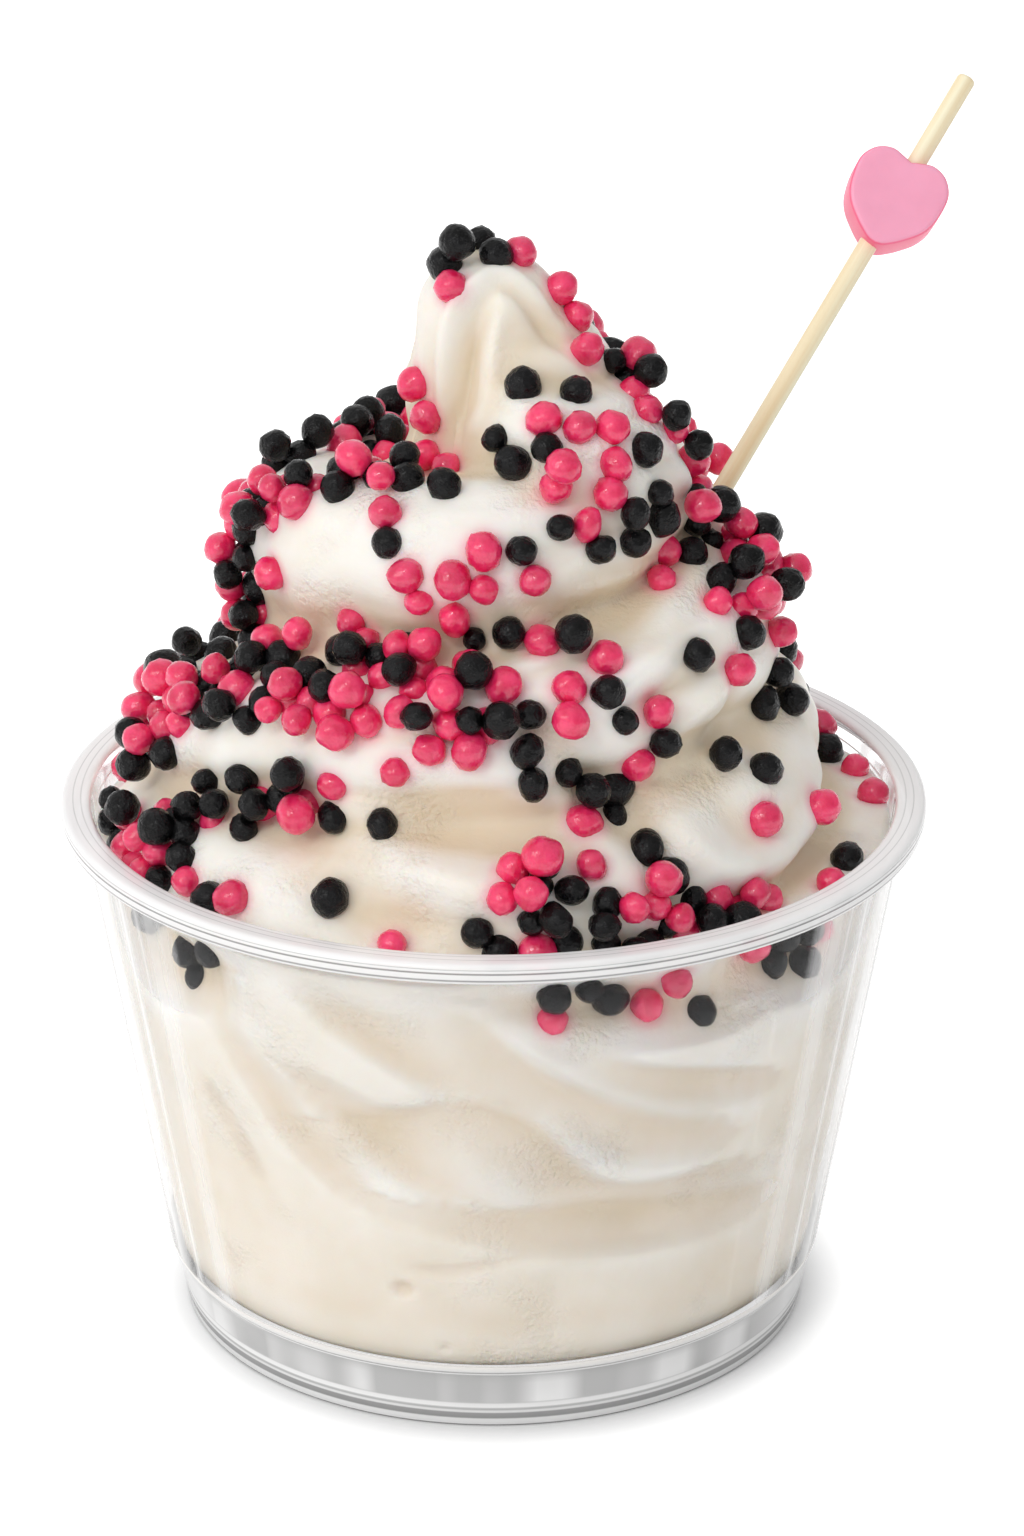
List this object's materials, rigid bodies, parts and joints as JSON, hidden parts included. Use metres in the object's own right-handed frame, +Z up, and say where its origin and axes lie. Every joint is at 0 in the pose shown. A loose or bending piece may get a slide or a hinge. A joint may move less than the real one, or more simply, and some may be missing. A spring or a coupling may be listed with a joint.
{
  "type": "cup of soft serve",
  "caption": "Soft serve swirl with a slim peak in a tapered clear cup, dusted with sugar pearls, a heart on a leaning wooden pick.",
  "frame": {"origin": "on the floor, under the middle of the whole part's extent; the cup's axis is upright at x = -2.76 mm", "axes": "+Z up, along the cup's axis, -Y towards the viewer of the picture, +X to the viewer's right"},
  "size_m": [0.1036, 0.098, 0.1366],
  "materials": {
    "clear_plastic": "clear, glossy, thin walled",
    "soft_serve": "soft frozen cream, slightly wet sheen, with glossy pink and black sugar pearls",
    "pale_wood": "smooth pale round wood",
    "heart_pink": "smooth satin"
  },
  "bodies": {
    "root": {"cup": "clear_plastic", "soft_serve": "soft_serve", "pick": "pale_wood", "heart": "heart_pink"}
  },
  "joints": []
}
